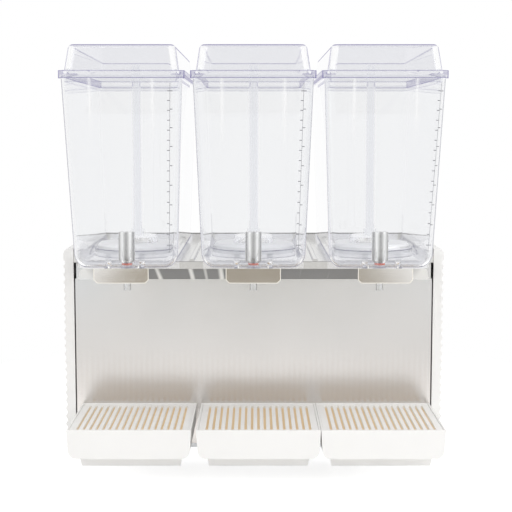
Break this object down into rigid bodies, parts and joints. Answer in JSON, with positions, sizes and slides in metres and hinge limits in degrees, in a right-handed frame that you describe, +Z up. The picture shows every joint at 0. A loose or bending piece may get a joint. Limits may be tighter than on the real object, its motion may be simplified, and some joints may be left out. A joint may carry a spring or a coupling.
{
  "type": "cold drink dispenser",
  "caption": "Counter-top cold drink dispenser: clear lidded bowls with spray tubes and lever valves on a refrigerated steel cabinet with white sides and drip trays.",
  "frame": {"origin": "on the counter, under the middle of the bounding box", "axes": "+X to the right seen from the front, +Y to the rear, +Z up"},
  "size_m": [0.622, 0.519, 0.6735],
  "materials": {
    "clear": "clear, polished",
    "clear_lid": "clear, polished",
    "steel": "brushed",
    "polished": "polished",
    "white": "white, satin",
    "orange": "soft, matt",
    "seal": "soft, matt",
    "black_rubber": "matt",
    "galvanised": "plain",
    "black_paint": "satin black",
    "motor_can": "grey",
    "aluminium": "mill",
    "copper": "plain",
    "grey_plastic": "grey",
    "black_plastic": "black",
    "green_rocker": "green",
    "magnet": "dark"
  },
  "bodies": {
    "cabinet": {"left_evaporator": "polished", "left_pump_cover": "clear", "left_spray_tube": "clear", "centre_evaporator": "polished", "centre_pump_cover": "clear", "centre_spray_tube": "clear", "right_evaporator": "polished", "right_pump_cover": "clear", "right_spray_tube": "clear", "bowl_gaskets": "seal", "pump_motors": "motor_can", "front_panel": "steel", "left_side_panel": "white", "right_side_panel": "white", "rear_panel": "galvanised", "deck": "steel", "base_pan": "galvanised", "compressor": "black_paint", "condenser": "aluminium", "fan_motor": "motor_can", "refrigerant_lines": "copper", "thermostat": "grey_plastic", "switch_frames": "black_plastic", "power_inlet": "black_plastic", "feet": "black_rubber", "screws": "polished"},
    "left_bowl_unit": {"left_bowl": "clear", "left_handle_pins": "clear"},
    "left_lid_unit": {"left_lid": "clear_lid"},
    "left_handle_lever": {"left_handle": "steel"},
    "left_valve": {"left_valve_piston": "polished", "left_seat_cup": "orange"},
    "left_pump_wheel": {"left_impeller": "white", "left_drive_magnet": "magnet"},
    "left_tray": {"left_drip_tray": "white"},
    "left_grille": {"left_tray_grille": "white"},
    "centre_bowl_unit": {"centre_bowl": "clear", "centre_handle_pins": "clear"},
    "centre_lid_unit": {"centre_lid": "clear_lid"},
    "centre_handle_lever": {"centre_handle": "steel"},
    "centre_valve": {"centre_valve_piston": "polished", "centre_seat_cup": "orange"},
    "centre_pump_wheel": {"centre_impeller": "white", "centre_drive_magnet": "magnet"},
    "centre_tray": {"centre_drip_tray": "white"},
    "centre_grille": {"centre_tray_grille": "white"},
    "right_bowl_unit": {"right_bowl": "clear", "right_handle_pins": "clear"},
    "right_lid_unit": {"right_lid": "clear_lid"},
    "right_handle_lever": {"right_handle": "steel"},
    "right_valve": {"right_valve_piston": "polished", "right_seat_cup": "orange"},
    "right_pump_wheel": {"right_impeller": "white", "right_drive_magnet": "magnet"},
    "right_tray": {"right_drip_tray": "white"},
    "right_grille": {"right_tray_grille": "white"},
    "condenser_fan_part": {"condenser_fan": "black_plastic"},
    "thermostat_knob_part": {"thermostat_knob": "black_plastic"},
    "power_switch_part": {"power_switch": "green_rocker"},
    "pump_switch_part": {"pump_switch": "black_plastic"}
  },
  "joints": [
    {"name": "left_bowl_lift", "type": "slide", "parent": "cabinet", "child": "left_bowl_unit", "axis": [0, 0, 1], "range_m": [0, 0.33]},
    {"name": "left_lid_lift", "type": "slide", "parent": "left_bowl_unit", "child": "left_lid_unit", "axis": [0, 0, 1], "range_m": [0, 0.08]},
    {"name": "left_handle_press", "type": "hinge", "parent": "left_bowl_unit", "child": "left_handle_lever", "pos_m": [-0.194, -0.2205, 0.3415], "axis": [1, 0, 0], "range_deg": [0, 10]},
    {"name": "left_valve_rise", "type": "slide", "parent": "left_bowl_unit", "child": "left_valve", "axis": [0, 0, 1], "range_m": [0, 0.00864]},
    {"name": "left_pump_spin", "type": "hinge", "parent": "cabinet", "child": "left_pump_wheel", "pos_m": [-0.194, -0.0015, 0.364], "axis": [0, 0, 1], "continuous": true},
    {"name": "left_tray_lift", "type": "slide", "parent": "cabinet", "child": "left_tray", "axis": [0, 0, 1], "range_m": [0, 0.04]},
    {"name": "left_grille_lift", "type": "slide", "parent": "left_tray", "child": "left_grille", "axis": [0, 0, 1], "range_m": [0, 0.03]},
    {"name": "centre_bowl_lift", "type": "slide", "parent": "cabinet", "child": "centre_bowl_unit", "axis": [0, 0, 1], "range_m": [0, 0.33]},
    {"name": "centre_lid_lift", "type": "slide", "parent": "centre_bowl_unit", "child": "centre_lid_unit", "axis": [0, 0, 1], "range_m": [0, 0.08]},
    {"name": "centre_handle_press", "type": "hinge", "parent": "centre_bowl_unit", "child": "centre_handle_lever", "pos_m": [0, -0.2205, 0.3415], "axis": [1, 0, 0], "range_deg": [0, 10]},
    {"name": "centre_valve_rise", "type": "slide", "parent": "centre_bowl_unit", "child": "centre_valve", "axis": [0, 0, 1], "range_m": [0, 0.00864]},
    {"name": "centre_pump_spin", "type": "hinge", "parent": "cabinet", "child": "centre_pump_wheel", "pos_m": [0, -0.0015, 0.364], "axis": [0, 0, 1], "continuous": true},
    {"name": "centre_tray_lift", "type": "slide", "parent": "cabinet", "child": "centre_tray", "axis": [0, 0, 1], "range_m": [0, 0.04]},
    {"name": "centre_grille_lift", "type": "slide", "parent": "centre_tray", "child": "centre_grille", "axis": [0, 0, 1], "range_m": [0, 0.03]},
    {"name": "right_bowl_lift", "type": "slide", "parent": "cabinet", "child": "right_bowl_unit", "axis": [0, 0, 1], "range_m": [0, 0.33]},
    {"name": "right_lid_lift", "type": "slide", "parent": "right_bowl_unit", "child": "right_lid_unit", "axis": [0, 0, 1], "range_m": [0, 0.08]},
    {"name": "right_handle_press", "type": "hinge", "parent": "right_bowl_unit", "child": "right_handle_lever", "pos_m": [0.194, -0.2205, 0.3415], "axis": [1, 0, 0], "range_deg": [0, 10]},
    {"name": "right_valve_rise", "type": "slide", "parent": "right_bowl_unit", "child": "right_valve", "axis": [0, 0, 1], "range_m": [0, 0.00864]},
    {"name": "right_pump_spin", "type": "hinge", "parent": "cabinet", "child": "right_pump_wheel", "pos_m": [0.194, -0.0015, 0.364], "axis": [0, 0, 1], "continuous": true},
    {"name": "right_tray_lift", "type": "slide", "parent": "cabinet", "child": "right_tray", "axis": [0, 0, 1], "range_m": [0, 0.04]},
    {"name": "right_grille_lift", "type": "slide", "parent": "right_tray", "child": "right_grille", "axis": [0, 0, 1], "range_m": [0, 0.03]},
    {"name": "condenser_fan_turn", "type": "hinge", "parent": "cabinet", "child": "condenser_fan_part", "pos_m": [0.13, 0.1615, 0.131], "axis": [0, 1, 0], "continuous": true},
    {"name": "thermostat_knob_turn", "type": "hinge", "parent": "cabinet", "child": "thermostat_knob_part", "pos_m": [0.09, 0.2515, 0.274], "axis": [0, 1, 0], "range_deg": [-135, 135]},
    {"name": "power_switch_turn", "type": "hinge", "parent": "cabinet", "child": "power_switch_part", "pos_m": [-0.06, 0.2472, 0.274], "axis": [1, 0, 0], "range_deg": [-16, 0]},
    {"name": "pump_switch_turn", "type": "hinge", "parent": "cabinet", "child": "pump_switch_part", "pos_m": [-0.026, 0.2472, 0.274], "axis": [1, 0, 0], "range_deg": [-16, 0]}
  ],
  "couplings": [
    {"joint": "left_valve_rise", "follows": "left_handle_press", "m_per_rad": 0.0495},
    {"joint": "centre_valve_rise", "follows": "centre_handle_press", "m_per_rad": 0.0495},
    {"joint": "right_valve_rise", "follows": "right_handle_press", "m_per_rad": 0.0495}
  ]
}
